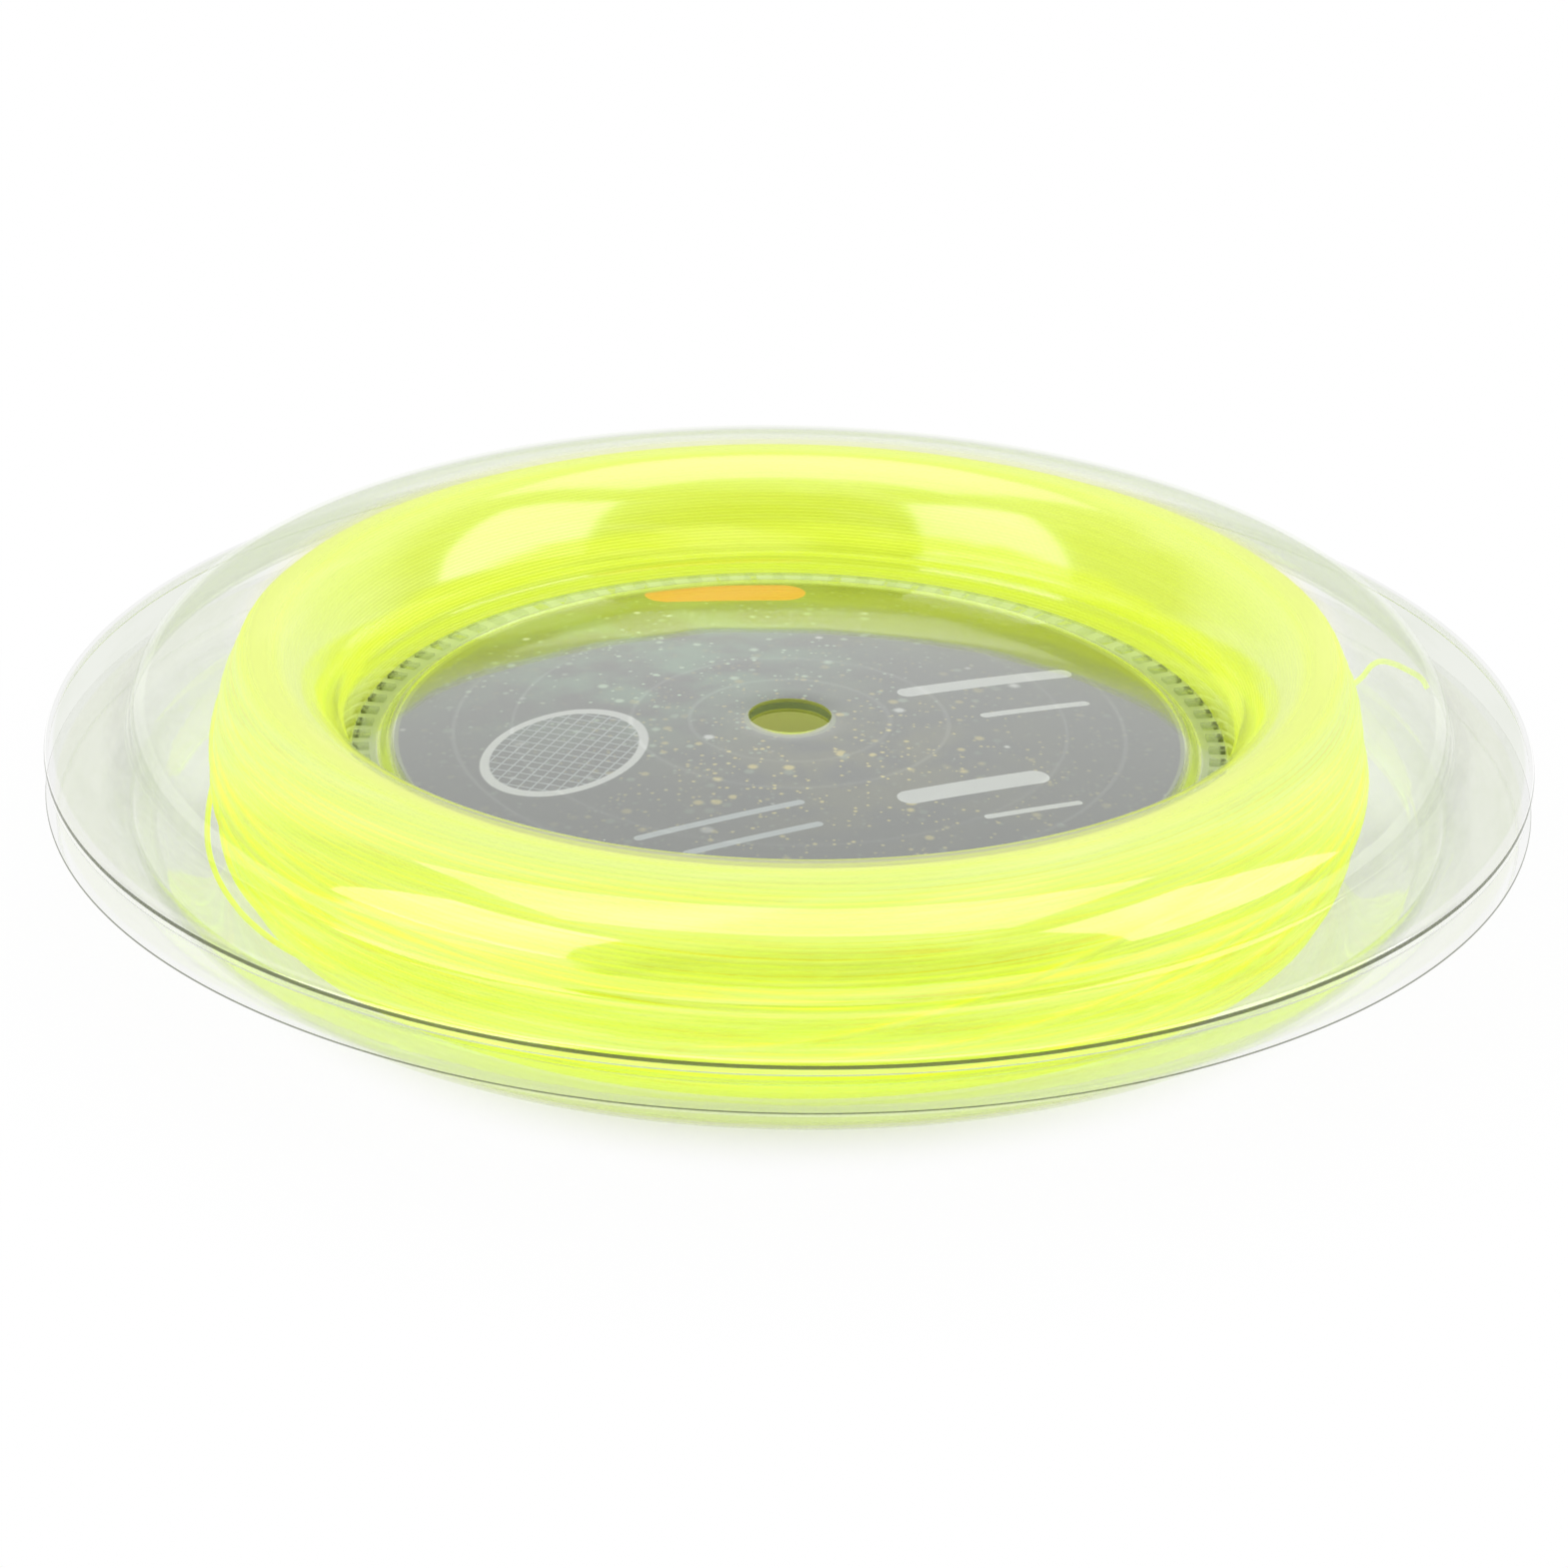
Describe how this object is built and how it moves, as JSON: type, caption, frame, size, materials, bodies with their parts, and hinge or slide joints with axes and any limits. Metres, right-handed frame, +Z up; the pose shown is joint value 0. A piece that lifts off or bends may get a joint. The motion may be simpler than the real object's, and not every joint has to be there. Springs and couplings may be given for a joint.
{
  "type": "string reel",
  "caption": "Reel of bright yellow badminton string in a clear welded spool with wide brims, a sunken hub with a printed label and a spindle hole.",
  "frame": {"origin": "middle of the circle that the lower crest stands on, on the spindle hole's axis", "axes": "+Z up along the spindle hole's axis, towards the label that faces up; the loose end of the string lies near +X, and -Y faces the viewer"},
  "size_m": [0.18, 0.18, 0.0292],
  "materials": {
    "clear_sheet": "clear, smooth, thin formed sheet",
    "card": "dark printed card under gloss film",
    "string": "smooth nylon, fluorescent yellow"
  },
  "bodies": {
    "root": {"top_shell": "clear_sheet", "bottom_shell": "clear_sheet", "weld_ribs": "clear_sheet", "top_label": "card", "bottom_label": "card", "string_core": "string", "string_outer_layer": "string", "string_tail": "string"}
  },
  "joints": []
}
